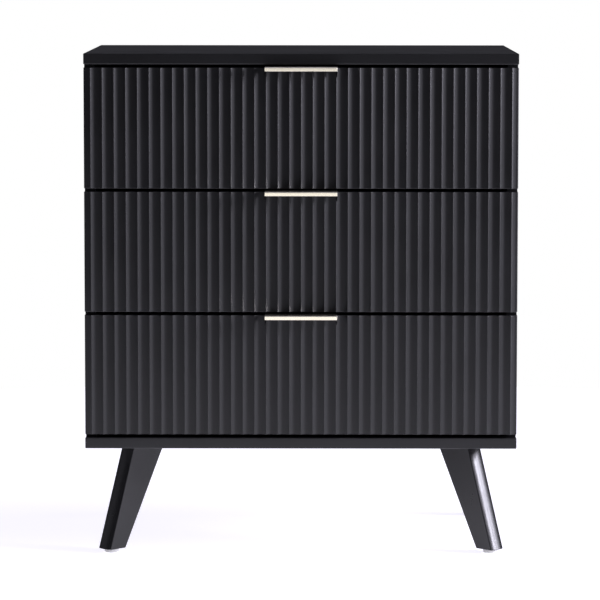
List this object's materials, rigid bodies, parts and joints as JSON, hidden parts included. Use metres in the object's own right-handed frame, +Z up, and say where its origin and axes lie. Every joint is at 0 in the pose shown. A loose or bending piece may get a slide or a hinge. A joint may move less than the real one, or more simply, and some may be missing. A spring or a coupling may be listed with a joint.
{
  "type": "nightstand with drawers",
  "caption": "Black bedside cabinet with full-width fluted drawer fronts, brass edge pulls, a flat top and splayed tapered legs.",
  "frame": {"origin": "on the floor, under the middle of the whole object, pulls included", "axes": "+Z up, the drawers open towards -Y, +X to the right seen from the front"},
  "size_m": [0.6, 0.422, 0.7],
  "materials": {
    "black_lacquer": "satin black paint on fibreboard",
    "leg_lacquer": "satin black paint on solid wood",
    "back_board": "black-faced hardboard",
    "drawer_board": "charcoal melamine on particle board",
    "pull_brass": "satin champagne",
    "runner_steel": "zinc-plated sheet",
    "screw_steel": "zinc-plated",
    "cam_zinc": "die-cast zinc, matte",
    "dowel_beech": "bare beech",
    "glide_nylon": "off-white nylon"
  },
  "bodies": {
    "cabinet": {"top_panel": "black_lacquer", "base_panel": "black_lacquer", "side_panel_left": "black_lacquer", "side_panel_right": "black_lacquer", "leg_front_left": "leg_lacquer", "leg_front_right": "leg_lacquer", "leg_rear_right": "leg_lacquer", "leg_rear_left": "leg_lacquer", "back_panel": "back_board", "bottom_cabinet_runner_left": "runner_steel", "bottom_cabinet_runner_right": "runner_steel", "middle_cabinet_runner_left": "runner_steel", "middle_cabinet_runner_right": "runner_steel", "top_cabinet_runner_left": "runner_steel", "top_cabinet_runner_right": "runner_steel", "carcass_cam_bolts": "screw_steel", "leg_screws": "screw_steel", "cabinet_runner_screws": "screw_steel", "carcass_cams": "cam_zinc", "carcass_dowels": "dowel_beech", "foot_glides": "glide_nylon"},
    "bottom_drawer": {"bottom_drawer_front": "black_lacquer", "bottom_drawer_bottom": "back_board", "bottom_drawer_side_left": "drawer_board", "bottom_drawer_side_right": "drawer_board", "bottom_drawer_back": "drawer_board", "bottom_drawer_pull": "pull_brass", "bottom_drawer_runner_left": "runner_steel", "bottom_drawer_runner_right": "runner_steel", "bottom_drawer_screws": "screw_steel", "bottom_drawer_cam_bolts": "screw_steel", "bottom_drawer_cams": "cam_zinc"},
    "bottom_sliders": {"bottom_runner_slider_left": "runner_steel", "bottom_runner_slider_right": "runner_steel"},
    "middle_drawer": {"middle_drawer_front": "black_lacquer", "middle_drawer_bottom": "back_board", "middle_drawer_side_left": "drawer_board", "middle_drawer_side_right": "drawer_board", "middle_drawer_back": "drawer_board", "middle_drawer_pull": "pull_brass", "middle_drawer_runner_left": "runner_steel", "middle_drawer_runner_right": "runner_steel", "middle_drawer_screws": "screw_steel", "middle_drawer_cam_bolts": "screw_steel", "middle_drawer_cams": "cam_zinc"},
    "middle_sliders": {"middle_runner_slider_left": "runner_steel", "middle_runner_slider_right": "runner_steel"},
    "top_drawer": {"top_drawer_front": "black_lacquer", "top_drawer_bottom": "back_board", "top_drawer_side_left": "drawer_board", "top_drawer_side_right": "drawer_board", "top_drawer_back": "drawer_board", "top_drawer_pull": "pull_brass", "top_drawer_runner_left": "runner_steel", "top_drawer_runner_right": "runner_steel", "top_drawer_screws": "screw_steel", "top_drawer_cam_bolts": "screw_steel", "top_drawer_cams": "cam_zinc"},
    "top_sliders": {"top_runner_slider_left": "runner_steel", "top_runner_slider_right": "runner_steel"}
  },
  "joints": [
    {"name": "bottom_drawer_slide", "type": "slide", "parent": "cabinet", "child": "bottom_drawer", "axis": [0, -1, 0], "range_m": [0, 0.33]},
    {"name": "bottom_slider_slide", "type": "slide", "parent": "cabinet", "child": "bottom_sliders", "axis": [0, -1, 0], "range_m": [0, 0.165]},
    {"name": "middle_drawer_slide", "type": "slide", "parent": "cabinet", "child": "middle_drawer", "axis": [0, -1, 0], "range_m": [0, 0.33]},
    {"name": "middle_slider_slide", "type": "slide", "parent": "cabinet", "child": "middle_sliders", "axis": [0, -1, 0], "range_m": [0, 0.165]},
    {"name": "top_drawer_slide", "type": "slide", "parent": "cabinet", "child": "top_drawer", "axis": [0, -1, 0], "range_m": [0, 0.33]},
    {"name": "top_slider_slide", "type": "slide", "parent": "cabinet", "child": "top_sliders", "axis": [0, -1, 0], "range_m": [0, 0.165]}
  ],
  "couplings": [
    {"joint": "bottom_slider_slide", "follows": "bottom_drawer_slide", "ratio": 0.5},
    {"joint": "middle_slider_slide", "follows": "middle_drawer_slide", "ratio": 0.5},
    {"joint": "top_slider_slide", "follows": "top_drawer_slide", "ratio": 0.5}
  ]
}
